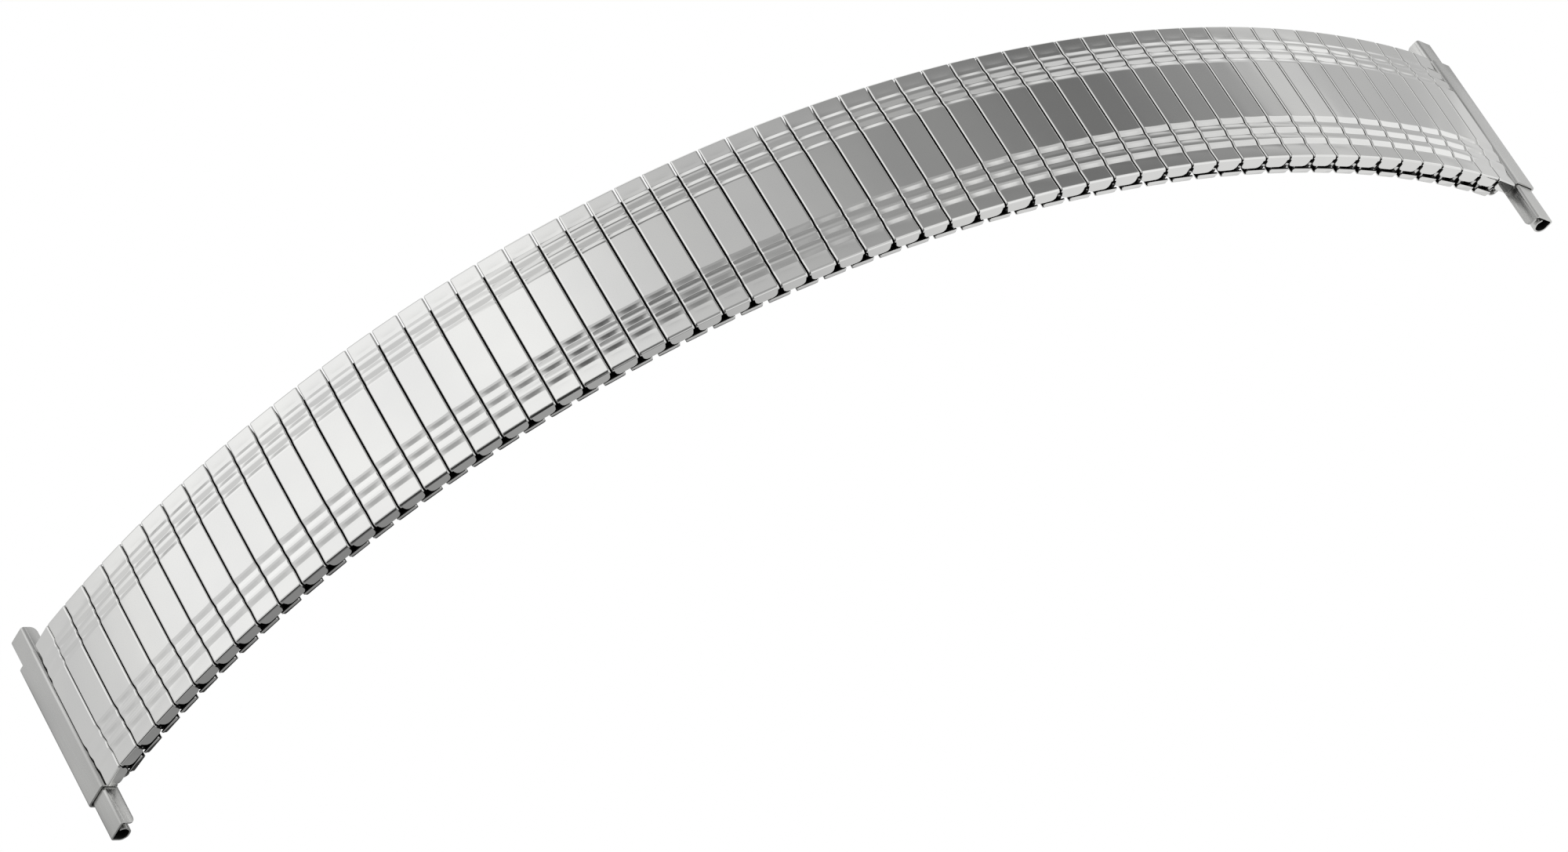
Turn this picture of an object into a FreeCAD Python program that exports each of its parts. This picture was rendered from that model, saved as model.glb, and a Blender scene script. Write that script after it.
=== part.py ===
import FreeCAD, Part
import math
import os

# Expansion watch band: two rows of folded steel links joined by U-shaped bows, standing as an open arch.
# X runs along the band, Y across it, Z up. The origin is midway between the feet of the arch, on the ground.
# Each link is drawn in its own frame: x along the band, y across, z outward, with z = 0 on its top panel.

V = FreeCAD.Vector

# The band as a whole
band_width = 16.0
link_count = 58
link_pitch = 2.60
turn_per_link = 1.63
left_droop = 9.0
right_droop = 3.0
links_per_segment = [6, 7, 6, 7, 6, 7, 6, 7, 6]

# Top links, folded from polished sheet
top_gap = 0.14
top_height = 1.43
top_skirt_inset = 0.20
step_places = [3.55, 4.80, 6.05]
step_run = 0.35
step_drop = 0.13
step_rise = 0.065
edge_level = -0.24
ceiling = 0.39
flap_sheet = 0.22
bow_slot = 0.80
floor_sheet = 0.20
end_sheet = 0.28

# Bottom sleeves
row_gap = 0.35
sleeve_length = 2.10
sleeve_height = 0.92
sleeve_width = 15.30
sleeve_sheet = 0.17
sleeve_slot = 0.50
sleeve_lean = 0.10

# U-shaped bows: one leg in a top link, one in a bottom sleeve
bow_width = 0.36
bow_sheet = 0.22
bow_outside = 7.40
leg_length = 2.60
upper_leg_level = -0.50
lower_leg_level = -2.48
upper_leg_place = 0.36
lower_leg_place = 0.55
bridge_leg_place = 0.57
crowded_leg_place = 0.75

# Leaf springs lie inside every link, with a low ridge that stiffens them
spring_width = 1.30
spring_ridge = 0.10
spring_length = 12.60
top_spring_level = -1.10
sleeve_spring_level = -1.98

# End pieces: an outer shell with two telescoping slides
shell_gap = 0.12
shell_sheet = 0.22
shell_reach = 2.85
shell_width = 15.30
shell_round = 0.35
shell_skirt = 1.20
shell_lip_drop = 0.52
shell_lip_inset = 0.30
shell_lip_edge = 0.15
shell_fold = 0.12
tongue_level = -1.60
tongue_reach = 0.15
tongue_width = 14.30
roll_radius = 0.50
roll_sheet = 0.13
slide_clear = 0.06
slide_sheet = 0.20
slide_bend = 0.15
slide_reach = 2.25
slide_length = 7.30
flange_drop = 1.45
flange_round = 0.60
bar_bore = 1.30
bar_wall = 0.15
near_slide_tip = 11.60
far_slide_tip = 10.50


def polygon(points):
    wire = Part.makePolygon([V(*p) for p in points] + [V(*points[0])])
    return Part.Face(wire)


def bar_along_x(outline, start, stop):
    """Extrude an outline of (y, z) points along x."""
    return polygon([(start, y, z) for y, z in outline]).extrude(V(stop - start, 0, 0))


def bar_along_y(outline, start, stop):
    """Extrude an outline of (x, z) points along y."""
    return polygon([(x, start, z) for x, z in outline]).extrude(V(0, stop - start, 0))


def link_headings():
    """Downward slope of each top link, in degrees, from the left end to the right."""
    headings = [(i + 0.5 - link_count / 2) * turn_per_link for i in range(link_count)]
    headings[0] -= left_droop
    headings[-1] += right_droop
    return headings


def gap_points(headings):
    """Points on the top line between links, walked outward from the middle of the band."""
    middle = link_count // 2
    points = {middle: V(0, 0, 0)}
    for i in range(middle, link_count):
        slope = math.radians(headings[i])
        points[i + 1] = points[i] + V(math.cos(slope), 0, -math.sin(slope)) * link_pitch
    for i in range(middle - 1, -1, -1):
        slope = math.radians(headings[i])
        points[i] = points[i + 1] - V(math.cos(slope), 0, -math.sin(slope)) * link_pitch
    return points


def place(point, heading, turn=0):
    """A link's frame: heading is its downward slope, turn its direction seen from above."""
    tilt = FreeCAD.Rotation(V(0, 1, 0), heading)
    return FreeCAD.Placement(point, tilt.multiply(FreeCAD.Rotation(V(0, 0, 1), turn)))


headings = link_headings()
gaps = gap_points(headings)
link_places = [place((gaps[i] + gaps[i + 1]) * 0.5, headings[i]) for i in range(link_count)]
sleeve_places = [
    place(gaps[i + 1], (headings[i] + headings[i + 1]) / 2) for i in range(link_count - 1)
]
end_places = {
    "left": place(gaps[0], headings[0], 180),
    "right": place(gaps[link_count], headings[-1]),
}
link_half = (link_pitch - top_gap) / 2
cavity_half = link_half - end_sheet
sleeve_top = -(top_height + row_gap)
sleeve_floor = sleeve_top - sleeve_height


def stepped_top():
    """The panel is highest in the middle and steps down three times towards each edge."""
    side = []
    level = 0.0
    for where in step_places:
        side.append((where, level))
        side.append((where + step_run, level - step_drop))
        level -= step_drop - step_rise
    side.append((band_width / 2, edge_level))
    return [(-y, z) for y, z in reversed(side)] + side


def slotted_hollow(outer, slot, far_side, near_side, rim):
    """Outline of a link's cavity, open at both ends through a slot in the wall that faces the other row."""
    inner = outer - slot
    return [(-outer, far_side), (outer, far_side), (outer, rim), (inner, rim), (inner, near_side),
            (-inner, near_side), (-inner, rim), (-outer, rim)]


def top_link():
    """A folded box: its long sides lean in, its end flaps hang down, and the bows come out beneath them."""
    half_width = band_width / 2
    body = bar_along_x(
        stepped_top() + [(half_width, -top_height), (-half_width, -top_height)], -link_half, link_half
    )
    skirt_half = link_half - top_skirt_inset
    body = body.common(bar_along_y(
        [(-link_half, 0), (link_half, 0), (skirt_half, -top_height), (-skirt_half, -top_height)],
        -half_width, half_width,
    ))
    hollow = slotted_hollow(
        half_width - flap_sheet, bow_slot, -ceiling, -top_height + floor_sheet, -top_height
    )
    return body.cut(bar_along_x(hollow, -cavity_half, cavity_half)).Solids[0]


def bottom_sleeve():
    """The same box the other way up: its end flaps stand up, and the bows go in behind them."""
    half = sleeve_length / 2
    half_width = sleeve_width / 2
    foot = half - sleeve_lean
    body = bar_along_y(
        [(-half, sleeve_top), (half, sleeve_top), (foot, sleeve_floor), (-foot, sleeve_floor)],
        -half_width, half_width,
    )
    hollow = slotted_hollow(
        half_width - sleeve_sheet, sleeve_slot, sleeve_floor + sleeve_sheet, sleeve_top - sleeve_sheet,
        sleeve_top,
    )
    return body.cut(bar_along_x(hollow, -half + sleeve_sheet, half - sleeve_sheet)).Solids[0]


def bridge_sleeve():
    """A sleeve whose long sides are cut away beside its slots, so that bows that slide can lean further."""
    body = bottom_sleeve()
    for side in (-1, 1):
        inner = side * (sleeve_width / 2 - sleeve_sheet - sleeve_slot)
        outer = side * (sleeve_width / 2 - sleeve_sheet)
        low = sleeve_floor + sleeve_sheet
        gap = [(inner, low), (outer, low), (outer, sleeve_top), (inner, sleeve_top)]
        body = body.cut(bar_along_x(gap, -sleeve_length, sleeve_length))
    return body.Solids[0]


def bow(upper_x, lower_x, side, lower_level):
    """A U that leans along the band; its legs taper inward from the bend, which faces side +1 or -1."""
    lean = (upper_x - lower_x) / (upper_leg_level - lower_level)
    bend = side * bow_outside
    root = side * (bow_outside - bow_sheet)
    tip = side * (bow_outside - leg_length)
    outline = [
        (bend, upper_leg_level), (bend, lower_level), (tip, lower_level),
        (root, lower_level + bow_sheet), (root, upper_leg_level - bow_sheet), (tip, upper_leg_level),
    ]
    left = lower_x - bow_width / 2
    face = polygon([(left + lean * (z - lower_level), y, z) for y, z in outline])
    return face.extrude(V(bow_width, 0, 0))


def leaf_spring(top):
    half = spring_width / 2
    edge = top - spring_ridge
    return bar_along_y([(-half, edge), (half, edge), (0, top)], -spring_length / 2, spring_length / 2)


def shell_channel():
    """Folded channel: inner wall, top plate, rounded outer wall, and a lip that keeps the slides in."""
    start = shell_gap
    reach = shell_gap + shell_reach
    inside = reach - shell_sheet
    inner_round = shell_round + shell_sheet / 4
    lip_low = -shell_skirt - shell_lip_drop
    lip = reach - shell_lip_inset
    return bar_along_y(
        [(start, tongue_level - shell_sheet), (start, -shell_fold), (start + shell_fold, 0),
         (reach - shell_round, 0), (reach, -shell_round), (reach, -shell_skirt), (lip, lip_low),
         (lip - shell_lip_edge, lip_low + shell_lip_edge / 2), (inside, -shell_skirt),
         (inside, -inner_round), (reach - inner_round, -shell_sheet),
         (start + shell_sheet, -shell_sheet), (start + shell_sheet, tongue_level - shell_sheet)],
        -shell_width / 2, shell_width / 2,
    )


def arc_points(middle_x, middle_z, radius, first, last, steps):
    """Corners of a folded round, by angle in degrees from +x towards +z."""
    angles = [math.radians(first + (last - first) * n / steps) for n in range(steps + 1)]
    return [(middle_x + radius * math.cos(a), middle_z + radius * math.sin(a)) for a in angles]


def end_shell():
    """The channel, its tongue under the last link, and the roll that holds that link's end bows."""
    half = tongue_width / 2
    roll_x = -tongue_reach - roll_radius
    roll_z = tongue_level - roll_radius
    start = shell_gap + shell_sheet / 2
    tongue_low = tongue_level - shell_sheet
    outside = arc_points(roll_x, roll_z, roll_radius, 90, 345, 7)
    inside = arc_points(roll_x, roll_z, roll_radius - roll_sheet, 345, 45, 6)
    tongue = bar_along_y(
        [(start, tongue_low), (start, tongue_level)] + outside + inside + [(-tongue_reach, tongue_low)],
        -half, half,
    )
    return shell_channel().fuse(tongue).removeSplitter().Solids[0]


def slide(tip, side):
    """A telescoping slide: top plate, tube for the spring bar, and a flange with one rounded corner."""
    outer_end = side * tip
    inner_end = outer_end - side * slide_length
    low = min(outer_end, inner_end)
    start = shell_gap + shell_sheet + slide_clear
    top = -shell_sheet - slide_clear
    bottom = top - flange_drop
    inside = start + slide_sheet
    reach = start + slide_reach
    tube_radius = bar_bore / 2 + bar_wall
    middle_x = reach - tube_radius
    middle_z = top - tube_radius
    body = bar_along_y(
        [(start, bottom), (start, top), (reach - slide_bend, top), (reach, top - slide_bend)]
        + arc_points(middle_x, middle_z, tube_radius, 0, -225, 7)
        + [(inside + slide_bend, top - slide_sheet), (inside, top - slide_sheet - slide_bend),
           (inside, bottom)],
        low, low + slide_length,
    )
    bore = Part.makeCylinder(bar_bore / 2, slide_length, V(middle_x, low, middle_z), V(0, 1, 0))
    quarter = arc_points(outer_end - side * flange_round, bottom + flange_round, flange_round, -90, 0, 2)
    if side < 0:
        quarter = [(2 * (outer_end + flange_round) - y, z) for y, z in quarter]
    corner = bar_along_x(quarter + [(outer_end, bottom)], start, inside)
    return body.cut([bore, corner]).Solids[0]


def put(shape, where):
    """A copy of the shape moved into a link's frame."""
    solid = shape.copy()
    solid.Placement = where
    return solid


def bow_pair(where, upper_x, lower_x, lower_level=lower_leg_level):
    return [put(bow(upper_x, lower_x, side, lower_level), where) for side in (-1, 1)]


def left_bows(j, place_in_link, place_in_sleeve):
    """Sleeve j's two bows into link j, with their legs so far from the middles of link and sleeve."""
    return bow_pair(sleeve_places[j], place_in_link - link_pitch / 2, -place_in_sleeve)


def right_bows(j, place_in_link, place_in_sleeve):
    """Sleeve j's two bows into link j + 1."""
    return bow_pair(sleeve_places[j], place_in_link + link_pitch / 2, place_in_sleeve)


def segment_spans():
    """First and last top link of each rigid segment."""
    spans = []
    first = 0
    for count in links_per_segment:
        spans.append((first, first + count - 1))
        first += count
    return spans


def segment_nodes(number, first, last, boundaries):
    """A segment's links, its own sleeves between them, their bows, and a leaf spring in every link."""
    sleeves = range(first, last)
    bows = []
    for j in sleeves:
        right_place = crowded_leg_place if j + 1 in boundaries else upper_leg_place
        bows += left_bows(j, upper_leg_place, lower_leg_place)
        bows += right_bows(j, -right_place, lower_leg_place)
    links = [link_places[i] for i in range(first, last + 1)]
    springs = [put(leaf_spring(top_spring_level), where) for where in links]
    springs += [put(leaf_spring(sleeve_spring_level), sleeve_places[j]) for j in sleeves]
    return {
        f"top_links_{number}": [put(top_link(), where) for where in links],
        f"bottom_sleeves_{number}": [put(bottom_sleeve(), sleeve_places[j]) for j in sleeves],
        f"bows_{number}": bows,
        f"leaf_springs_{number}": springs,
    }


def bridge_nodes(number, j):
    """The sleeve across a boundary, its leaf spring, and its four bows."""
    where = sleeve_places[j]
    bows = left_bows(j, -upper_leg_place, bridge_leg_place)
    bows += right_bows(j, -upper_leg_place, lower_leg_place)
    return {
        f"bridge_sleeve_{number}": [
            put(bridge_sleeve(), where), put(leaf_spring(sleeve_spring_level), where)
        ],
        f"bridge_bows_{number}": bows,
    }


def end_nodes(end):
    """End shell, two slides and the two bows that hold the shell to the last link."""
    where = end_places[end]
    roll_x = -tongue_reach - roll_radius
    roll_leg_level = tongue_level - roll_radius - bow_sheet / 2
    near = -1 if end == "right" else 1
    return {
        f"end_shell_{end}": [put(end_shell(), where)],
        f"end_bows_{end}": bow_pair(
            where, upper_leg_place - link_pitch / 2, roll_x, roll_leg_level
        ),
        f"near_slide_{end}": [put(slide(near_slide_tip, near), where)],
        f"far_slide_{end}": [put(slide(far_slide_tip, -near), where)],
    }


def band_nodes():
    spans = segment_spans()
    boundaries = [last for _, last in spans[:-1]]
    nodes = {}
    for number, (first, last) in enumerate(spans, 1):
        nodes.update(segment_nodes(number, first, last, boundaries))
    for number, j in enumerate(boundaries, 1):
        nodes.update(bridge_nodes(number, j))
    for end in ("left", "right"):
        nodes.update(end_nodes(end))
    return nodes


nodes = band_nodes()
box = Part.makeCompound([solid for solids in nodes.values() for solid in solids]).BoundBox
to_ground = V(-(box.XMin + box.XMax) / 2, -(box.YMin + box.YMax) / 2, -box.ZMin)
os.makedirs("parts", exist_ok=True)
for name, solids in nodes.items():
    group = Part.makeCompound(solids)
    group.translate(to_ground)
    group.exportStep(f"parts/{name}.step")
print("nodes", len(nodes), "box", [round(v, 2) for v in (box.XLength, box.YLength, box.ZLength)])
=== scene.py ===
import math

import bmesh
import bpy
from mathutils import Matrix, Vector


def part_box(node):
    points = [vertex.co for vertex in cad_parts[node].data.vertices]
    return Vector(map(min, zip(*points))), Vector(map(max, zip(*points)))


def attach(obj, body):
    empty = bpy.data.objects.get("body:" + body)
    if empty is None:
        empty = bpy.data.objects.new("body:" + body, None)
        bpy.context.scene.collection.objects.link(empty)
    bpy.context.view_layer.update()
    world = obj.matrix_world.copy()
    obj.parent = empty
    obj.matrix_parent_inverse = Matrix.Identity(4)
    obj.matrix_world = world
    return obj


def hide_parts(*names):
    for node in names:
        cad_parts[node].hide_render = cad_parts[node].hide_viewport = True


# Expansion watch band in stainless steel: polished top links over polished sleeves, satin end pieces.
# Sizes are millimetres here; every mesh is made in metres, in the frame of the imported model.

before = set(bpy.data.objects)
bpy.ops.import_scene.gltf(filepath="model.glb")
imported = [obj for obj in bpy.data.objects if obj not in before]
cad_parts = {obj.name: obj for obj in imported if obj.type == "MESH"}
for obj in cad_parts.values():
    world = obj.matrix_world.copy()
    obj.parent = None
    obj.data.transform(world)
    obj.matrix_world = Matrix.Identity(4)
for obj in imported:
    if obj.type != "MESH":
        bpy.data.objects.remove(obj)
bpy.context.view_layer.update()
MM = 0.001

# The band as a whole, as in the part's source
link_count = 58
link_pitch = 2.60
turn_per_link = 1.63
left_droop = 9.0
right_droop = 3.0
links_per_segment = [6, 7, 6, 7, 6, 7, 6, 7, 6]
near_slide_tip = 11.60
far_slide_tip = 10.50

# Top links
band_width = 16.0
top_gap = 0.14
top_height = 1.43
# A pressed step starts step_lead before its place and is lowest step_run after it. On the way down it is
# steepest between two shares of that distance. After it the panel rises a little again.
step_places = [3.55, 4.80, 6.05]
step_lead = 0.26
step_run = 0.35
step_steep_start = 0.44
step_steep_end = 0.90
step_drop = 0.16
step_rise = 0.09
step_softening = 0.18
edge_level = -0.24
flap_sheet = 0.22
long_round = 0.13
flap_round = 0.20
flap_inset = 0.04
flap_neck = 0.13
neck_drop = 0.05
flap_narrower = 0.17
flap_corner = 0.48
foot_round = 0.03
# Flat faces end this far before a rounding, so that their shading stays flat
flat_margin = 0.04
top_skirt_inset = 0.20
end_sheet = 0.28
ceiling = 0.39
floor_sheet = 0.20
bow_slot = 0.80

# Bottom sleeves
sleeve_top = -1.78
sleeve_floor = -2.70
sleeve_length = 2.10
sleeve_width = 15.30
sleeve_sheet = 0.17
sleeve_slot = 0.50
sleeve_lean = 0.10
sleeve_flap_top = -2.05
sleeve_long_round = 0.10
sleeve_foot_round = 0.12
sleeve_flap_round = 0.16
sleeve_corner = 0.26
sleeve_rim = 0.06
sleeve_flap_lean = 0.22
# Up to this height above their floor the sleeves are polished; above it they are matte and painted dark, a
# painted shade beneath the top links
sleeve_unshaded_height = 0.15

# Bows and leaf springs
bow_width = 0.36
bow_sheet = 0.22
bow_outside = 7.40
bow_bend = 0.26
leg_length = 2.60
upper_leg_level = -0.50
lower_leg_level = -2.48
upper_leg_place = 0.36
lower_leg_place = 0.55
bridge_leg_place = 0.57
crowded_leg_place = 0.75
spring_width = 1.30
spring_length = 12.60
spring_sheet = 0.05
spring_ridge = 0.06
top_spring_level = -1.10
sleeve_spring_level = -1.98

# End shells and slides
shell_gap = 0.12
shell_sheet = 0.22
shell_reach = 2.85
shell_width = 15.30
shell_skirt = 1.20
shell_lip_drop = 0.52
shell_lip_inset = 0.30
shell_inner_fold = 0.24
shell_outer_fold = 0.30
# The shell's inner wall runs down to this far below the tongue's level
shell_wall_end = 0.05
tongue_level = -1.60
tongue_reach = 0.15
tongue_width = 14.30
roll_radius = 0.50
roll_axis = -tongue_reach - roll_radius
roll_sheet = 0.13
slide_clear = 0.06
slide_sheet = 0.17
slide_reach = 2.25
slide_length = 7.30
slide_inner_fold = 0.20
slide_outer_fold = 0.24
# The plate's inner edge is folded down by this much
slide_inner_drop = 0.45
# The D-shaped tube: each corner's distance in from the outer side, its depth and its fold
tube_corners = [
    (0.085, 1.10, 0.50), (0.45, 1.52, 0.55), (1.20, 1.50, 0.50), (1.56, 0.85, 0.50), (1.30, 0.32, 0),
]
# Its axis lies this far in and this deep, and it starts this far from the flange's side
tube_axis = 0.85
tube_start = 0.4
flange_top = 0.2
flange_drop = 1.45
flange_round = 0.60
# The cut edges of sheet are rounded by this much
rim_round = 0.03
# Pieces of one part run this far into each other
overlap = 0.02


# Where every link lies

def link_headings():
    """Downward slope of each top link, in degrees, from the left end to the right."""
    headings = [(i + 0.5 - link_count / 2) * turn_per_link for i in range(link_count)]
    headings[0] -= left_droop
    headings[-1] += right_droop
    return headings


def gap_points(headings):
    """Points on the top line between links, walked outward from the middle of the band."""
    middle = link_count // 2
    points = {middle: Vector((0, 0, 0))}
    for i in range(middle, link_count):
        slope = math.radians(headings[i])
        points[i + 1] = points[i] + Vector((math.cos(slope), 0, -math.sin(slope))) * link_pitch
    for i in range(middle - 1, -1, -1):
        slope = math.radians(headings[i])
        points[i] = points[i + 1] - Vector((math.cos(slope), 0, -math.sin(slope))) * link_pitch
    return points


headings = link_headings()
gaps = gap_points(headings)
panel_low, panel_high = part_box("top_links_5")
to_ground = Vector((
    (panel_low.x + panel_high.x) / 2, (panel_low.y + panel_high.y) / 2, panel_high.z,
)) / MM


def place(point, heading, turn=0):
    """A link's frame in the model: heading is its downward slope, turn its direction seen from above."""
    tilt = Matrix.Rotation(math.radians(heading), 4, "Y") @ Matrix.Rotation(math.radians(turn), 4, "Z")
    return Matrix.Translation((point + to_ground) * MM) @ tilt @ Matrix.Scale(MM, 4)


link_places = [place((gaps[i] + gaps[i + 1]) / 2, headings[i]) for i in range(link_count)]
sleeve_places = [
    place(gaps[i + 1], (headings[i] + headings[i + 1]) / 2) for i in range(link_count - 1)
]
end_places = {
    "left": place(gaps[0], headings[0], 180),
    "right": place(gaps[link_count], headings[-1]),
}


# Materials

# The slow waves that polishing leaves in sheet, and patches that are handled more than others
wave_spacing = 1.6
smudge_spacing = 9.0
# The dark colour of marked faces: painted shade in hollows and beneath the links
painted_shade_colour = "3C3C3B"
unpolished_roughness = 0.5


def linear(code):
    """sRGB hex to linear, with alpha."""
    channels = [int(code[i:i + 2], 16) / 255 for i in (0, 2, 4)]
    return [c / 12.92 if c <= 0.04045 else ((c + 0.055) / 1.055) ** 2.4 for c in channels] + [1]


def node(tree, kind, inputs=None, **settings):
    """Adds a node, sets its properties, then its inputs: a value, or an output socket to link from."""
    made = tree.nodes.new(kind)
    for name, value in settings.items():
        setattr(made, name, value)
    for name, value in (inputs or {}).items():
        if isinstance(value, bpy.types.NodeSocket):
            tree.links.new(value, made.inputs[name])
        else:
            made.inputs[name].default_value = value
    return made


def steel(name, colour, dark_colour, roughness, grain, grain_stretch, grain_depth, wave_depth):
    """Stainless steel. grain is the spacing of its finest marks in mm, grain_stretch their direction:
    how much shorter they are along x, y and z. wave_depth is the slow unevenness left by polishing."""
    material = bpy.data.materials.new(name)
    material.use_nodes = True
    tree = material.node_tree
    tree.nodes.clear()
    where = node(tree, "ShaderNodeTexCoord").outputs["Object"]
    marks = node(tree, "ShaderNodeMapping", {"Vector": where, "Scale": grain_stretch})
    grain_noise = node(tree, "ShaderNodeTexNoise", {
        "Vector": marks.outputs["Vector"], "Scale": 1 / (grain * MM), "Detail": 3, "Roughness": 0.6,
    })
    wave = node(tree, "ShaderNodeTexNoise", {
        "Vector": where, "Scale": 1 / (wave_spacing * MM), "Detail": 1,
    })
    smudge = node(tree, "ShaderNodeTexNoise", {
        "Vector": where, "Scale": 1 / (smudge_spacing * MM), "Detail": 4,
    })
    shade = node(tree, "ShaderNodeMapRange", {
        "Value": smudge.outputs["Fac"], "From Min": 0.35, "From Max": 0.7,
    })
    polish = node(tree, "ShaderNodeMix", {
        "Factor": shade.outputs["Result"], "A": linear(colour), "B": linear(dark_colour),
    }, data_type="RGBA")
    # Marked faces turn dark and matte: the dark colour is painted shade, the matte stands for unpolished
    # sheet
    raw_and_shaded = node(tree, "ShaderNodeAttribute", attribute_name="unpolished_and_shaded").outputs["Fac"]
    tint = node(tree, "ShaderNodeMix", {
        "Factor": raw_and_shaded, "A": polish.outputs["Result"], "B": linear(painted_shade_colour),
    }, data_type="RGBA")
    shine = node(tree, "ShaderNodeMapRange", {
        "Value": grain_noise.outputs["Fac"], "From Min": 0.3, "From Max": 0.7,
        "To Min": roughness * 0.8, "To Max": roughness * 1.3,
    })
    gloss = node(tree, "ShaderNodeMix", {
        "Factor": raw_and_shaded, "A": shine.outputs["Result"], "B": unpolished_roughness,
    }, data_type="FLOAT")
    slow = node(tree, "ShaderNodeBump", {
        "Height": wave.outputs["Fac"], "Distance": wave_depth * MM, "Strength": 1,
    })
    fine = node(tree, "ShaderNodeBump", {
        "Height": grain_noise.outputs["Fac"], "Distance": grain_depth * MM, "Strength": 1,
        "Normal": slow.outputs["Normal"],
    })
    surface = node(tree, "ShaderNodeBsdfPrincipled", {
        "Base Color": tint.outputs["Result"], "Metallic": 1, "Roughness": gloss.outputs["Result"],
        "Normal": fine.outputs["Normal"],
    })
    node(tree, "ShaderNodeOutputMaterial", {"Surface": surface.outputs["BSDF"]})
    return material


# Mirror-polished stainless steel: crisp reflections, slightly wavy from pressing and buffing
polished_steel = steel(
    "Polished stainless steel", "ECECEA", "E6E6E5", 0.07, 0.12, (1, 1, 1), 0.0002, 0.0015)
# Satin-brushed stainless steel: lines across the band, a soft even sheen
satin_steel = steel(
    "Satin brushed stainless steel", "D6D6D4", "CECECD", 0.30, 0.10, (1, 0.03, 1), 0.0006, 0.0005)
# Rolled stainless strip of the bows, tumbled smooth
strip_steel = steel(
    "Tumbled stainless strip", "DCDCDA", "C4C4C3", 0.16, 0.08, (1, 1, 1), 0.0006, 0.001)
# Hard-rolled spring steel: a little darker, faint rolling lines
spring_steel = steel(
    "Rolled spring steel", "BDBDBA", "A8A8A6", 0.24, 0.08, (1, 0.05, 1), 0.003, 0.002)


# Shapes

def in_scene(name, data):
    """An object at the origin of the scene."""
    made = bpy.data.objects.new(name, data)
    bpy.context.scene.collection.objects.link(made)
    return made


def finished(name, mesh, material):
    """An object at the origin with one material, smooth except at sharp edges."""
    mesh.materials.clear()
    mesh.materials.append(material)
    mesh.shade_smooth()
    mesh.set_sharp_from_angle(angle=math.radians(40))
    return in_scene(name, mesh)


def as_mesh(name, skin):
    """A mesh from a skin that is done with."""
    mesh = bpy.data.meshes.new(name)
    skin.to_mesh(mesh)
    skin.free()
    return mesh


def walled(skin, one, two):
    """Faces between two rings of equally many points."""
    count = len(one)
    for i in range(count):
        skin.faces.new((one[i], one[(i + 1) % count], two[(i + 1) % count], two[i]))


def soften_rims(skin, size):
    """Turns the faces of a closed skin outward and rounds its sharp edges."""
    bmesh.ops.recalc_face_normals(skin, faces=skin.faces)
    if size:
        sharp = [e for e in skin.edges if e.calc_face_angle(0) > 1]
        bmesh.ops.bevel(skin, geom=sharp, offset=size, segments=2, affect="EDGES", profile=0.5)


def lofted(name, sections):
    """A closed skin over rings of equally many points, capped at both ends."""
    skin = bmesh.new()
    rings = [[skin.verts.new(p) for p in ring] for ring in sections]
    for one, two in zip(rings, rings[1:]):
        walled(skin, one, two)
    skin.faces.new(rings[0])
    skin.faces.new(rings[-1])
    bmesh.ops.remove_doubles(skin, verts=skin.verts, dist=1e-5)
    bmesh.ops.dissolve_degenerate(skin, dist=1e-5, edges=skin.edges)
    bmesh.ops.recalc_face_normals(skin, faces=skin.faces)
    return as_mesh(name, skin)


def arc(middle, radius, first, last, steps):
    """Points on a round, by angle in degrees."""
    angles = [math.radians(first + (last - first) * n / steps) for n in range(steps + 1)]
    return [(middle[0] + radius * math.cos(a), middle[1] + radius * math.sin(a)) for a in angles]


def pressed(t):
    """Height lost so far along a pressed step: it bends down slowly, and ends short."""
    full = step_steep_end - step_steep_start / 2 + (1 - step_steep_end) / 2
    if t < step_steep_start:
        return t * t / (2 * step_steep_start) / full
    if t < step_steep_end:
        return (t - step_steep_start / 2) / full
    return 1 - (1 - t) ** 2 / (2 * (1 - step_steep_end)) / full


def panel_level(y):
    """Height of a top link's panel: three pressed steps down towards each edge, with a crown between."""
    y = abs(y)
    level = 0.0
    for where, following in zip(step_places, step_places[1:] + [band_width / 2 + step_lead]):
        start, valley, crest = where - step_lead, where + step_run, following - step_lead
        low = level - step_drop
        if y <= start:
            return level
        if y < valley:
            return level - step_drop * pressed((y - start) / (valley - start))
        level = low + step_rise if following < band_width / 2 else edge_level
        if y < crest:
            t = (y - valley) / (crest - valley)
            return low + (level - low) * t * (2 - t)
    return level


def panel_stations():
    """Places across a top link where its section is drawn, closer together at the steps."""
    half = [step_places[0] - step_lead - flat_margin]
    for where, following in zip(step_places, step_places[1:] + [band_width / 2 - flap_round + step_lead]):
        start, valley, crest = where - step_lead, where + step_run, following - step_lead
        half += [start + (valley - start) * t for t in (
            0, step_steep_start / 3, step_steep_start * 2 / 3, step_steep_start, step_steep_end,
            (1 + step_steep_end) / 2, 1)]
        half += [valley + (crest - valley) * t for t in (0.25, 0.5, 0.75)]
    return [-y for y in reversed(half)] + [0.0] + half


def soft_level(y):
    """The same steps drawn out, as they are along the rounded long edges."""
    shifts = [step_softening * share for share in (-1, -1 / 3, 1 / 3, 1)]
    return sum(panel_level(y + shift) for shift in shifts) / len(shifts)


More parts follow.
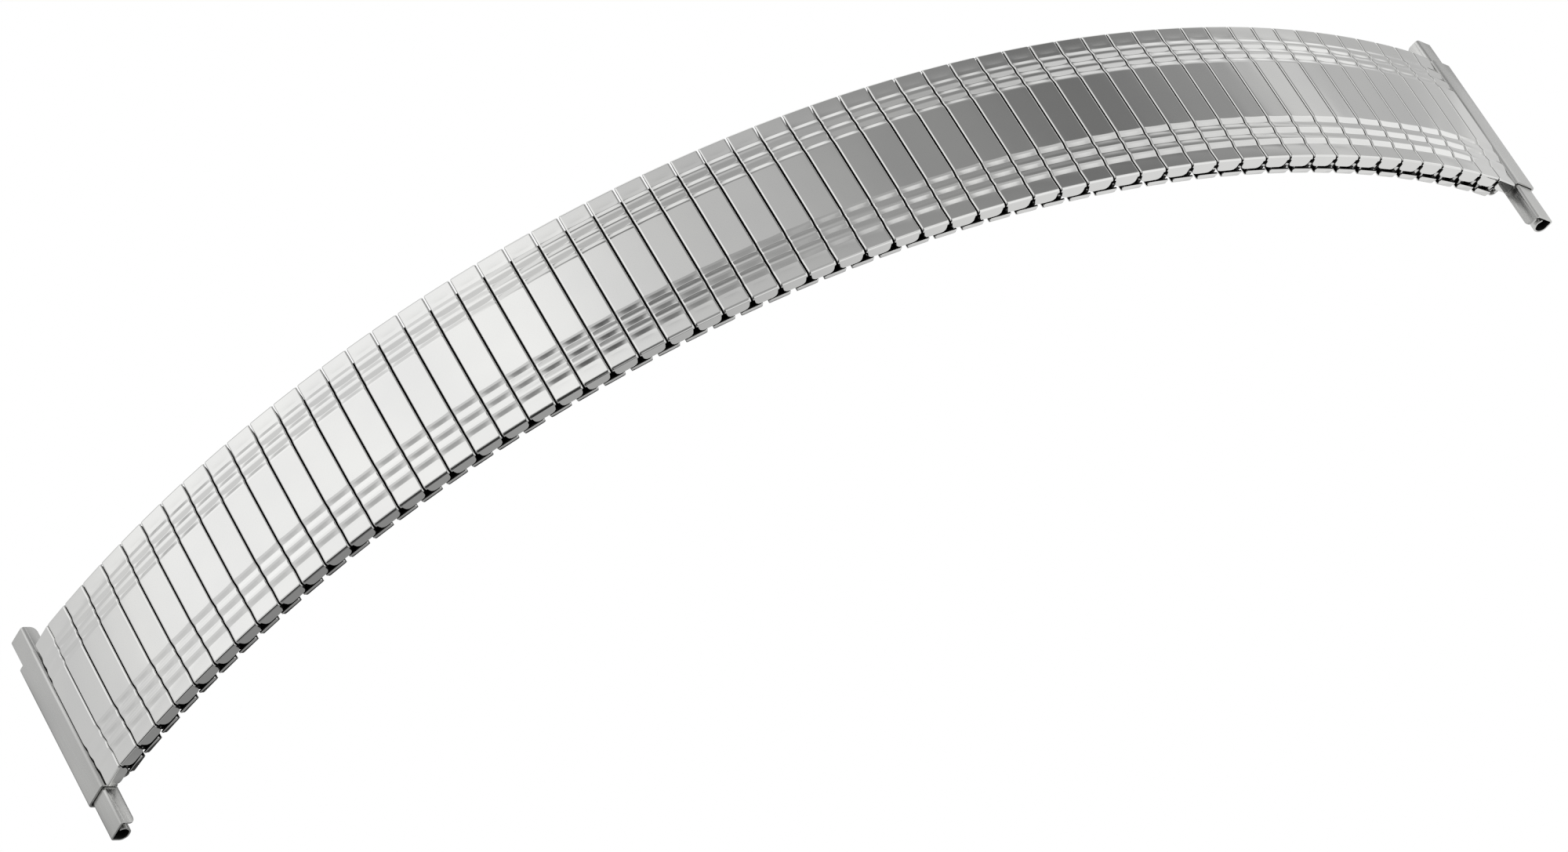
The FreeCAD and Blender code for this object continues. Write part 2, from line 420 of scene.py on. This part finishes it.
def box_section(y, half_top, half_foot, top, foot, round_top, round_foot, steps, middle_top=None, neck=0):
    """One ring across a link: flat top, rounded long edges, sides leaning in, rounded foot.
    neck is how far a flap's sides lie in from the long edges just below them."""
    flat = half_top - round_top - flat_margin
    crest = top if middle_top is None else middle_top
    ring = arc((half_top - round_top, top - round_top), round_top, 0, 90, steps)
    ring += [(flat * x, top + (crest - top) * (1 - abs(x) ** 3)) for x in (1, 0.8, 0.5, 0, -0.5, -0.8, -1)]
    ring += arc((-half_top + round_top, top - round_top), round_top, 90, 180, steps)
    ring += [(-half_top + neck, top - round_top - neck_drop)]
    ring += arc((-half_foot + round_foot, foot + round_foot), round_foot, 180, 270, steps)
    ring += arc((half_foot - round_foot, foot + round_foot), round_foot, 270, 360, steps)
    ring += [(half_top - neck, top - round_top - neck_drop)]
    return [(x, y, z) for x, z in ring]


def cut_by(mesh, cutters):
    """The mesh with closed blocks taken out of it, each given by its lowest and highest corner."""
    body = in_scene("body", mesh)
    blocks = []
    for low, high in cutters:
        block = bmesh.new()
        bmesh.ops.create_cube(block, size=1)
        for v in block.verts:
            v.co = [low[i] + (high[i] - low[i]) * (v.co[i] + 0.5) for i in range(3)]
        tool = in_scene("block", as_mesh("block", block))
        blocks.append(tool)
        cut = body.modifiers.new("cut", "BOOLEAN")
        cut.operation = "DIFFERENCE"
        cut.solver = "EXACT"
        cut.object = tool
    made = bpy.data.meshes.new_from_object(body.evaluated_get(bpy.context.evaluated_depsgraph_get()))
    for used in blocks + [body]:
        bpy.data.objects.remove(used)
    return made


def marked_matte_and_shaded(mesh, hidden):
    """Marks faces that are made matte, where the polishing wheel doesn't reach, and painted dark as painted
    shade:
    faces whose centre and direction are hidden, by the test that is given, apart from those that close a
    link's ends."""
    marks = mesh.attributes.new("unpolished_and_shaded", "FLOAT", "FACE")
    for i, face in enumerate(mesh.polygons):
        end_face = abs(face.normal.y) > 0.5 and abs(face.center.y) > sleeve_width / 2 - 0.1
        marks.data[i].value = 1.0 if hidden(face.center, face.normal) and not end_face else 0.0
    return mesh


def top_link_shape():
    """A pressed and folded link: stepped panel, flaps folded down over both ends, bow slots in the floor."""
    half = (link_pitch - top_gap) / 2
    foot = half - top_skirt_inset
    edge = band_width / 2
    inner_edge = edge - flap_sheet
    sections = []
    for y in panel_stations():
        if abs(y) < inner_edge:
            sections.append(box_section(
                y, half, foot, soft_level(y), -top_height, long_round, foot_round, 3, panel_level(y)))
    ends = []
    for y in (inner_edge, inner_edge + 0.001, edge - flap_round):
        ends.append(box_section(
            y, half, half - flap_narrower, panel_level(y), -top_height, long_round, flap_corner, 3,
            neck=flap_neck))
    for turn in (30, 60, 90):
        inset = flap_round * (1 - math.cos(math.radians(turn)))
        y = edge - flap_round * (1 - math.sin(math.radians(turn)))
        rim = flap_inset * inset / flap_round
        ends.append(box_section(
            y, half - rim, half - flap_narrower - rim, panel_level(y) - inset, -top_height + rim,
            long_round, flap_corner, 3, neck=flap_neck))
    rim += flat_margin
    ends.append(box_section(
        edge, half - rim, half - flap_narrower - rim, panel_level(edge) - inset - flat_margin,
        -top_height + rim, long_round, flap_corner - flat_margin, 3, neck=flap_neck))
    near = [[(x, -y, z) for x, y, z in ring] for ring in reversed(ends)]
    mesh = lofted("top link", near + sections + ends)
    inside = half - end_sheet
    outer = edge - flap_sheet
    inner = outer - bow_slot
    # The hollow under the panel, and at each end the slot in the floor where the bows go in
    body = cut_by(mesh, [
        ((-inside, -outer, -top_height + floor_sheet), (inside, outer, -ceiling)),
        ((-inside, -outer, -top_height - 1), (inside, -inner, -ceiling - 0.1)),
        ((-inside, inner, -top_height - 1), (inside, outer, -ceiling - 0.1)),
    ])
    # Its sides, its insides and the hollow under the panel are made matte and painted dark: painted shade
    return marked_matte_and_shaded(body, lambda p, out: p.z < panel_level(p.y) - long_round or p.z < 0.01 - ceiling)


def sleeve_shape():
    """A folded tube whose floor runs on under the bows and turns up as a low flap at each end."""
    half = sleeve_length / 2
    foot = half - sleeve_lean
    edge = sleeve_width / 2
    flap = edge - sleeve_sheet
    tube = flap - sleeve_slot
    floor = sleeve_floor + sleeve_sheet
    sections = []
    for y, top, corner in (
        (0, sleeve_top, sleeve_long_round), (tube, sleeve_top, sleeve_long_round),
        (tube + 0.001, floor, sleeve_long_round), (flap, floor, sleeve_long_round),
        (flap + 0.001, sleeve_flap_top, sleeve_flap_round),
        (edge - sleeve_rim, sleeve_flap_top, sleeve_flap_round),
        (edge - sleeve_rim / 3, sleeve_flap_top - sleeve_rim / 3, sleeve_flap_round),
        (edge, sleeve_flap_top - sleeve_rim, sleeve_flap_round),
    ):
        width = half - (sleeve_top - top) / (sleeve_top - sleeve_floor) * sleeve_lean
        rim = max(0.0, sleeve_flap_top - top) if y > flap else 0.0
        round_foot = sleeve_corner if y > flap else sleeve_foot_round
        sections.append(box_section(
            y, width - rim, foot - rim, top, sleeve_floor + rim, min(corner, (top - sleeve_floor) / 3),
            min(round_foot, (top - sleeve_floor) / 3), 3))
    near = [[(x, -y, z) for x, y, z in ring] for ring in reversed(sections[1:])]
    mesh = lofted("sleeve", near + sections)
    for point in mesh.vertices:
        if abs(point.co.y) > edge - sleeve_rim - 0.01:
            point.co.y -= math.copysign((sleeve_flap_top - point.co.z) * sleeve_flap_lean, point.co.y)
    inside = half - sleeve_sheet
    end = flap - 0.01
    body = cut_by(mesh, [((-inside, -end, floor), (inside, end, sleeve_top - sleeve_sheet))])
    # Above a thin strip at its floor the sleeve is made matte and painted dark: painted shade beneath the
    # top links
    return marked_matte_and_shaded(body, lambda p, out: p.z > sleeve_floor + sleeve_unshaded_height)


def strip_along(name, path, width, sheet, lean):
    """A flat strip bent along a path of (y, z) points; lean gives its middle's x at each height."""
    rings = []
    for i, (y, z) in enumerate(path):
        before, after = path[max(i - 1, 0)], path[min(i + 1, len(path) - 1)]
        dy, dz = after[0] - before[0], after[1] - before[1]
        length = math.hypot(dy, dz)
        ny, nz = -dz / length * sheet / 2, dy / length * sheet / 2
        ring = []
        for sx, sn in ((-0.5, -1), (0.5, -1), (0.5, 1), (-0.5, 1)):
            ring.append((lean(z) + sx * width, y + sn * ny, z + sn * nz))
        rings.append(ring)
    return lofted(name, rings)


def bow_shape(upper_x, lower_x, lower_level, side):
    """A U bent from flat strip: two legs with a round bend at each, leaning from one link to the next."""
    high = upper_leg_level - bow_sheet / 2
    low = lower_level + bow_sheet / 2
    bend = bow_outside - bow_sheet / 2
    tip = bow_outside - leg_length
    path = [(tip, high), (bend - bow_bend, high)]
    path += arc((bend - bow_bend, high - bow_bend), bow_bend, 90, 0, 3)[1:]
    path += arc((bend - bow_bend, low + bow_bend), bow_bend, 0, -90, 3)
    path += [(tip, low)]
    slope = (upper_x - lower_x) / (high - low)
    return strip_along(
        "bow", [(side * y, z) for y, z in path], bow_width, bow_sheet, lambda z: lower_x + slope * (z - low))


def leaf_spring_shape(top):
    """A thin strip with a low ridge along its middle."""
    half = spring_width / 2
    long_half = spring_length / 2
    crown = top - spring_ridge / 2
    path = [(half * share, crown - spring_ridge * share * share) for share in (-1, -0.5, 0, 0.5, 1)]
    return folded_sheet("leaf spring", path, [0] * len(path), spring_sheet, -long_half, long_half, 0)


def rounded(corners, radii, steps):
    """Corner points of an open line with each inner corner replaced by a round."""
    line = [Vector(corners[0])]
    for i in range(1, len(corners) - 1):
        here = Vector(corners[i])
        back = (Vector(corners[i - 1]) - here).normalized()
        on = (Vector(corners[i + 1]) - here).normalized()
        turn = back.angle(on)
        if radii[i] <= 0 or abs(turn - math.pi) < 1e-4:
            line.append(here)
            continue
        reach = radii[i] / math.tan(turn / 2)
        middle = here + (back + on).normalized() * radii[i] / math.sin(turn / 2)
        first = here + back * reach - middle
        last = here + on * reach - middle
        swing = first.angle_signed(last)
        for n in range(steps + 1):
            spin = Matrix.Rotation(-swing * n / steps, 2)
            line.append(middle + spin @ first)
    line.append(Vector(corners[-1]))
    return line


def folded_sheet(name, corners, radii, sheet, start, stop, edge=rim_round, steps=4):
    """Sheet metal folded along a line of (x, z) corners, as wide as start to stop along y."""
    line = rounded([Vector(c) for c in corners], radii, steps)
    sides = ([], [])
    for i, point in enumerate(line):
        before, after = line[max(i - 1, 0)], line[min(i + 1, len(line) - 1)]
        along = (after - before).normalized()
        across = Vector((-along.y, along.x))
        bend = 1.0
        if 0 < i < len(line) - 1:
            half_turn = (point - before).angle(after - point) / 2
            bend = 1 / max(math.cos(half_turn), 0.5)
        sides[0].append(point + across * sheet / 2 * bend)
        sides[1].append(point - across * sheet / 2 * bend)
    outline = sides[0] + sides[1][::-1]
    skin = bmesh.new()
    rings = [[skin.verts.new((p.x, y, p.y)) for p in outline] for y in (start, stop)]
    walled(skin, *rings)
    for ring in rings:
        for i in range(len(line) - 1):
            skin.faces.new((ring[i], ring[i + 1], ring[-2 - i], ring[-1 - i]))
    soften_rims(skin, edge)
    return as_mesh(name, skin)


def plate(name, outline, start, stop):
    """A flat plate with an outline of (y, z) points, from x = start to stop, its rims slightly rounded."""
    skin = bmesh.new()
    rings = [[skin.verts.new((x, y, z)) for y, z in outline] for x in (start, stop)]
    walled(skin, *rings)
    for ring in rings:
        skin.faces.new(ring)
    soften_rims(skin, rim_round)
    return as_mesh(name, skin)


def joined(name, meshes):
    """One mesh from several."""
    whole = bmesh.new()
    for mesh in meshes:
        whole.from_mesh(mesh)
    return as_mesh(name, whole)


def end_shell_shape():
    """The folded channel with its lip, and the tongue that curls up into a roll under the last link."""
    half = shell_width / 2
    skin = shell_sheet / 2
    start = shell_gap + skin
    reach = shell_gap + shell_reach - skin
    channel = folded_sheet(
        "channel",
        [(start, tongue_level - shell_wall_end), (start, -skin), (reach, -skin), (reach, -shell_skirt),
         (reach - shell_lip_inset, -shell_skirt - shell_lip_drop)],
        [0, shell_inner_fold, shell_outer_fold, shell_outer_fold, 0], shell_sheet, -half, half)
    middle = roll_radius - roll_sheet / 2
    roll = [(shell_gap + shell_sheet - overlap, tongue_level - roll_sheet / 2)]
    roll += arc((roll_axis, tongue_level - roll_radius), middle, 90, 375, 18)
    tongue = folded_sheet(
        "tongue", roll, [0] * len(roll), roll_sheet, -tongue_width / 2, tongue_width / 2, 0.02)
    return joined("end shell", [channel, tongue])


def slide_shape(tip, side):
    """Plate, D-shaped tube curled under its outer side, and a flange with one rounded corner."""
    outer_end = side * tip
    inner_end = outer_end - side * slide_length
    low, high = min(outer_end, inner_end), max(outer_end, inner_end)
    skin = slide_sheet / 2
    start = shell_gap + shell_sheet + slide_clear
    top = -shell_sheet - slide_clear
    reach = start + slide_reach
    tube = folded_sheet(
        "tube",
        [(start + skin, top - slide_inner_drop), (start + skin, top - skin), (reach - skin, top - skin)]
        + [(reach - across, top - depth) for across, depth, fold in tube_corners],
        [0, slide_inner_fold, slide_outer_fold] + [fold for across, depth, fold in tube_corners],
        slide_sheet, low, high, rim_round, 5)
    bottom = top - flange_drop
    quarter = arc((tip - flange_round, bottom + flange_round), flange_round, 0, -90, 8)
    outline = [(tip - slide_length, top - flange_top), (tip, top - flange_top)]
    outline += quarter + [(tip - slide_length, bottom)]
    flange = plate("flange", [(side * y, z) for y, z in outline], start, start + slide_sheet)
    axis_x, axis_z = reach - tube_axis, top - tube_axis
    # The inside of the tube is made matte and painted dark: painted shade in its hollow
    return marked_matte_and_shaded(joined("slide", [tube, flange]), lambda p, out: (
        p.x > start + tube_start and out.x * (axis_x - p.x) + out.z * (axis_z - p.z) > 0.05))


# Rows of links, by Geometry Nodes

def row_tree():
    """Sets a shape on every point, turned by that point's own turn."""
    tree = bpy.data.node_groups.new("Row of links", "GeometryNodeTree")
    tree.is_modifier = True
    face = tree.interface
    face.new_socket("Geometry", in_out="OUTPUT", socket_type="NodeSocketGeometry")
    face.new_socket("Geometry", in_out="INPUT", socket_type="NodeSocketGeometry")
    face.new_socket("Shape", in_out="INPUT", socket_type="NodeSocketObject")
    face.new_socket("Millimetre", in_out="INPUT", socket_type="NodeSocketFloat").default_value = MM
    face.new_socket("Finish", in_out="INPUT", socket_type="NodeSocketMaterial")
    given = node(tree, "NodeGroupInput").outputs
    shape = node(tree, "GeometryNodeObjectInfo", {"Object": given["Shape"]})
    turn = node(tree, "GeometryNodeInputNamedAttribute", {"Name": "turn"}, data_type="FLOAT_VECTOR")
    turned = node(tree, "FunctionNodeEulerToRotation", {"Euler": turn.outputs["Attribute"]})
    set_out = node(tree, "GeometryNodeInstanceOnPoints", {
        "Points": given["Geometry"], "Instance": shape.outputs["Geometry"],
        "Rotation": turned.outputs["Rotation"], "Scale": given["Millimetre"],
    })
    real = node(tree, "GeometryNodeRealizeInstances", {"Geometry": set_out.outputs["Instances"]})
    painted = node(tree, "GeometryNodeSetMaterial", {
        "Geometry": real.outputs["Geometry"], "Material": given["Finish"],
    })
    node(tree, "NodeGroupOutput", {"Geometry": painted.outputs["Geometry"]})
    return tree


row_of_links = row_tree()


def row(name, rows, material):
    """One mesh with a shape at each of its places; rows is a list of (shape, places)."""
    meshes = []
    for shape_mesh, places in rows:
        if not places:
            continue
        shape = in_scene("shape", shape_mesh)
        points = bpy.data.meshes.new("places")
        points.from_pydata([p.to_translation() for p in places], [], [])
        turns = points.attributes.new("turn", "FLOAT_VECTOR", "POINT")
        for i, p in enumerate(places):
            turns.data[i].vector = p.to_euler()
        holder = in_scene("places", points)
        lay = holder.modifiers.new("row", "NODES")
        lay.node_group = row_of_links
        sockets = {i.name: i.identifier for i in row_of_links.interface.items_tree if i.in_out == "INPUT"}
        lay[sockets["Shape"]] = shape
        lay[sockets["Millimetre"]] = MM
        lay[sockets["Finish"]] = material
        bpy.context.view_layer.update()
        done = holder.evaluated_get(bpy.context.evaluated_depsgraph_get())
        meshes.append(bpy.data.meshes.new_from_object(done))
        holder.modifiers.clear()
        bpy.data.objects.remove(holder)
        bpy.data.objects.remove(shape)
    return finished(name, joined(name, meshes), material)


def carried(piece, body, slot, *nodes):
    """The piece rides on a body and stands for CAD nodes, which it hides; slot is not used."""
    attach(piece, body)
    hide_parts(*nodes)
    return piece


def bow_set(left, right, left_foot=lower_leg_place):
    """The four bows of one sleeve; left and right are their upper legs' places in the links above."""
    half = link_pitch / 2
    return joined("bows", [
        bow_shape(place_in_link + direction * half, direction * foot, lower_leg_level, side)
        for side in (-1, 1)
        for place_in_link, direction, foot in ((left, -1, left_foot), (right, 1, lower_leg_place))
    ])


top_link_mesh = top_link_shape()
sleeve_mesh = sleeve_shape()
top_spring_mesh = leaf_spring_shape(top_spring_level)
sleeve_spring_mesh = leaf_spring_shape(sleeve_spring_level)
usual_bows = bow_set(upper_leg_place, -upper_leg_place)
crowded_bows = bow_set(upper_leg_place, -crowded_leg_place)
bridge_bows = bow_set(-upper_leg_place, -upper_leg_place, bridge_leg_place)

first = 0
boundaries = []
for count in links_per_segment[:-1]:
    first += count
    boundaries.append(first - 1)

first = 0
for number, count in enumerate(links_per_segment, 1):
    last = first + count - 1
    body = f"segment_{number}"
    links = link_places[first:last + 1]
    sleeves = sleeve_places[first:last]
    crowded = [sleeve_places[j] for j in range(first, last) if j + 1 in boundaries]
    usual = [sleeve_places[j] for j in range(first, last) if j + 1 not in boundaries]
    carried(row(f"pressed_links_{number}", [(top_link_mesh, links)], polished_steel),
            body, "polished_links", f"top_links_{number}")
    carried(row(f"folded_sleeves_{number}", [(sleeve_mesh, sleeves)], polished_steel),
            body, "polished_sleeves", f"bottom_sleeves_{number}")
    carried(row(f"bent_bows_{number}", [(usual_bows, usual), (crowded_bows, crowded)], strip_steel),
            body, "bows", f"bows_{number}")
    carried(row(f"ridged_springs_{number}", [(top_spring_mesh, links), (sleeve_spring_mesh, sleeves)],
                spring_steel), body, "spring_steel", f"leaf_springs_{number}")
    first = last + 1

# A bridge's sleeve and its leaf spring are one node of the solids, so the spring replaces none
for number, j in enumerate(boundaries, 1):
    body = f"bridge_{number}"
    carried(row(f"folded_bridge_sleeve_{number}", [(sleeve_mesh, [sleeve_places[j]])], polished_steel),
            body, "polished_sleeves", f"bridge_sleeve_{number}")
    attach(row(f"ridged_bridge_spring_{number}", [(sleeve_spring_mesh, [sleeve_places[j]])],
                        spring_steel), body)
    carried(row(f"bent_bridge_bows_{number}", [(bridge_bows, [sleeve_places[j]])], strip_steel),
            body, "bows", f"bridge_bows_{number}")


def put(name, mesh, where, material):
    """A single piece moved from an end's frame into the model."""
    made = mesh.copy()
    made.transform(where)
    return finished(name, made, material)


roll_leg_level = tongue_level - roll_radius - bow_sheet / 2
for end in ("left", "right"):
    where = end_places[end]
    # The left end's frame is turned round, so the camera's side of it is towards +y
    near = -1 if end == "right" else 1
    end_bows = joined("end bows", [
        bow_shape(upper_leg_place - link_pitch / 2, roll_axis, roll_leg_level, side) for side in (-1, 1)])
    carried(put(f"folded_shell_{end}", end_shell_shape(), where, satin_steel),
            f"end_{end}", "satin_ends", f"end_shell_{end}")
    carried(put(f"bent_end_bows_{end}", end_bows, where, strip_steel),
            f"end_{end}", "bows", f"end_bows_{end}")
    carried(put(f"near_tube_{end}", slide_shape(near_slide_tip, near), where, satin_steel),
            f"near_slide_{end}", "satin_slides", f"near_slide_{end}")
    carried(put(f"far_tube_{end}", slide_shape(far_slide_tip, -near), where, satin_steel),
            f"far_slide_{end}", "satin_slides", f"far_slide_{end}")


# Studio and camera

def mirrored_floor(tree):
    """How bright the steel sees the floor: patches with soft borders, each laid over what is under it."""

    def laid(under, level, *borders):
        """A patch laid over the level under it, where all its borders meet. A border is a measure along
        the floor, the value at which the patch starts and the value from which it is whole."""
        share = None
        for measure, start, whole in borders:
            border = node(tree, "ShaderNodeMapRange", {
                "Value": measure, "From Min": start, "From Max": whole,
            }, interpolation_type="SMOOTHSTEP").outputs["Result"]
            share = border if share is None else node(
                tree, "ShaderNodeMath", {0: share, 1: border}, operation="MULTIPLY").outputs[0]
        return node(tree, "ShaderNodeMix", {"Factor": share, "A": under, "B": level},
                    data_type="FLOAT").outputs["Result"]

    # Along the band and across it, in metres from the middle
    spot = node(tree, "ShaderNodeTexCoord").outputs["Object"]
    x, y = node(tree, "ShaderNodeSeparateXYZ", {"Vector": spot}).outputs[:2]
    left = laid(0.34, 0.66, (y, -0.06, 0.01))
    # Seen from the right end, the paper is bright to both sides and duller straight behind. The bearing
    # is the distance across for each metre beyond the end, which counts as no less than nearest.
    right_end = 0.057
    nearest = 0.002
    away = node(tree, "ShaderNodeMath", {0: x, 1: right_end}, operation="SUBTRACT")
    away = node(tree, "ShaderNodeMath", {0: away.outputs[0], 1: nearest}, operation="MAXIMUM")
    bearing = node(tree, "ShaderNodeMath", {0: y, 1: away.outputs[0]}, operation="DIVIDE").outputs[0]
    right = laid(1.0, 0.54, (bearing, 0.36, 0.54))
    right = laid(right, 0.98, (bearing, 1.0, 1.7))
    # Close behind the right end the paper is dull as well
    right = laid(right, 0.58, (x, 0.120, 0.090), (y, -0.004, 0.0), (y, 0.022, 0.014))
    floor = laid(left, right, (x, -0.03, 0.03))
    # In front of the band it is darker at the left
    front = laid(0.27, 0.80, (x, -0.045, 0.045))
    front = laid(front, 1.0, (x, 0.075, 0.10))
    # Further out in front of the left half it is dark, which draws a line along the fold of the flaps
    front = laid(front, laid(0.02, 0.80, (x, -0.02, 0.03)), (y, -0.040, -0.060))
    floor = laid(floor, front, (x, -0.078, -0.068), (y, -0.004, -0.012))
    # Beneath the arch a painted shadow of the band: the paper is darker there where the steel mirrors it
    shadow = laid(0.04, 0.70, (x, -0.02, 0.03))
    return laid(floor, shadow, (x, -0.072, -0.066), (y, -0.0100, -0.0085), (y, 0.010, 0.006))


def studio_floor():
    """A sheet of paper on the ground: white to the camera, graded where the steel mirrors it."""
    skin = bmesh.new()
    bmesh.ops.create_grid(skin, x_segments=1, y_segments=1, size=3)
    mesh = as_mesh("floor", skin)
    ground = in_scene("floor", mesh)
    white = bpy.data.materials.new("White studio paper")
    white.use_nodes = True
    tree = white.node_tree
    tree.nodes.clear()
    ray = node(tree, "ShaderNodeLightPath").outputs
    seen = node(tree, "ShaderNodeMath", {0: ray["Is Camera Ray"], 1: ray["Is Glossy Ray"]},
                operation="MAXIMUM")
    seen = node(tree, "ShaderNodeMath", {0: seen.outputs[0], 1: ray["Is Transmission Ray"]},
                operation="MAXIMUM")
    paper = node(tree, "ShaderNodeBsdfDiffuse", {"Color": linear("F4F4F4")})
    level = node(tree, "ShaderNodeMix", {
        "Factor": ray["Is Glossy Ray"], "A": 1.0, "B": mirrored_floor(tree),
    }, data_type="FLOAT")
    glow = node(tree, "ShaderNodeEmission", {
        "Color": linear("FFFFFF"), "Strength": level.outputs["Result"],
    })
    mix = node(tree, "ShaderNodeMixShader", {0: seen.outputs[0], 1: paper.outputs[0], 2: glow.outputs[0]})
    node(tree, "ShaderNodeOutputMaterial", {"Surface": mix.outputs[0]})
    mesh.materials.append(white)


# Strips of light over the arch, from in front of the band to behind it. Each but the first has the two
# values of the direction's y between which it takes over from the one before. Then come its stops:
# degrees from upright towards +x, and the level there.
light_strips = [
    (None, [(-95, 0.02), (-15, 0.03), (20, 0.60), (45, 1.0), (95, 0.95)]),
    ((-0.45, -0.28), [(-95, 0.25), (-75, 0.50), (-60, 0.66), (-25, 0.40), (-10, 0.10), (8, 0.35),
                      (32, 1.0), (90, 0.9)]),
    ((-0.04, 0.16), [(-100, 0.45), (-62, 0.74), (-17, 0.70), (8, 0.40), (30, 0.45), (56, 0.75),
                     (90, 0.98)]),
    ((0.40, 0.52), [(-100, 0.52), (-84, 0.68), (-62, 1.02), (-17, 1.02), (10, 0.58), (35, 0.31),
                    (56, 0.19), (74, 0.32), (85, 0.68), (98, 0.55)]),
    ((0.62, 0.72), [(-100, 0.6), (-60, 1.12), (-25, 1.05), (0, 0.20), (28, 0.36), (60, 0.30),
                    (85, 0.80)]),
    ((0.80, 0.92), [(-100, 0.30), (-75, 0.60), (-40, 0.80), (0, 0.85), (60, 1.0), (100, 0.9)]),
]


def studio_sky():
    """White to the camera; the steel mirrors the strips of light instead."""
    world = bpy.data.worlds.new("Studio")
    bpy.context.scene.world = world
    world.use_nodes = True
    tree = world.node_tree
    tree.nodes.clear()
    ray = node(tree, "ShaderNodeLightPath").outputs
    direction = node(tree, "ShaderNodeTexCoord").outputs["Generated"]
    part_of = node(tree, "ShaderNodeSeparateXYZ", {"Vector": direction}).outputs
    round_band = node(tree, "ShaderNodeMath", {0: part_of["X"], 1: part_of["Z"]}, operation="ARCTAN2")
    place_on_arc = node(tree, "ShaderNodeMapRange", {
        "Value": round_band.outputs[0], "From Min": -math.pi, "From Max": math.pi,
    }).outputs["Result"]
    sky = None
    for taking_over, stops in light_strips:
        strip = node(tree, "ShaderNodeValToRGB", {"Fac": place_on_arc})
        ramp = strip.color_ramp
        ramp.interpolation = "EASE"
        while len(ramp.elements) < len(stops):
            ramp.elements.new(0.5)
        for element, (degrees, level) in zip(ramp.elements, stops):
            element.position = degrees / 360 + 0.5
            element.color = (level, level, level, 1)
        light = strip.outputs["Color"]
        if taking_over:
            share = node(tree, "ShaderNodeMapRange", {
                "Value": part_of["Y"], "From Min": taking_over[0], "From Max": taking_over[1],
            }, interpolation_type="SMOOTHSTEP")
            light = node(tree, "ShaderNodeMix", {
                "Factor": share.outputs["Result"], "A": sky, "B": light,
            }, data_type="RGBA").outputs["Result"]
        sky = light
    back = node(tree, "ShaderNodeMath", {0: ray["Is Camera Ray"], 1: ray["Is Transmission Ray"]},
                operation="MAXIMUM")
    shown = node(tree, "ShaderNodeMix", {"Factor": back.outputs[0], "A": sky, "B": linear("FFFFFF")},
                 data_type="RGBA")
    background = node(tree, "ShaderNodeBackground", {"Color": shown.outputs["Result"], "Strength": 1})
    node(tree, "ShaderNodeOutputWorld", {"Surface": background.outputs[0]})


def soft_box(name, where, size, watts):
    """A soft lamp over the floor. The steel doesn't mirror it."""
    lamp = bpy.data.lights.new(name, "AREA")
    lamp.size = size
    lamp.energy = watts
    lamp.specular_factor = 0
    holder = in_scene(name, lamp)
    holder.visible_glossy = False
    holder.location = where
    holder.rotation_euler = (-Vector(where)).to_track_quat("-Z", "Y").to_euler()


# The camera that was fitted to the photograph, in mm from the top of the middle gap of the band, its tilt
# in degrees: at the front left, looking 54 degrees down
camera_place = Vector((-132.80, -338.81, 477.24))
camera_aim = Vector((-8.486, -21.010, 0))
camera_tilt = -5.309
camera_lens = 167.24


def photographer():
    """The camera, aimed and tilted as it was for the photograph."""
    lens = bpy.data.cameras.new("camera")
    lens.lens = camera_lens
    lens.sensor_width = 36
    lens.clip_start = 0.05
    lens.clip_end = 20
    eye = in_scene("camera", lens)
    aimed = (camera_aim - camera_place).to_track_quat("-Z", "Y").to_matrix()
    tilted = aimed @ Matrix.Rotation(math.radians(camera_tilt), 3, "Z")
    eye.matrix_world = Matrix.Translation((camera_place + to_ground) * MM) @ tilted.to_4x4()
    bpy.context.scene.camera = eye


studio_floor()
studio_sky()
soft_box("soft box left", (-0.5, 0.1, 0.7), 0.5, 3.0)
soft_box("soft box front", (0.2, -0.6, 0.6), 0.4, 1.5)
photographer()
bpy.context.scene.view_settings.view_transform = "Standard"
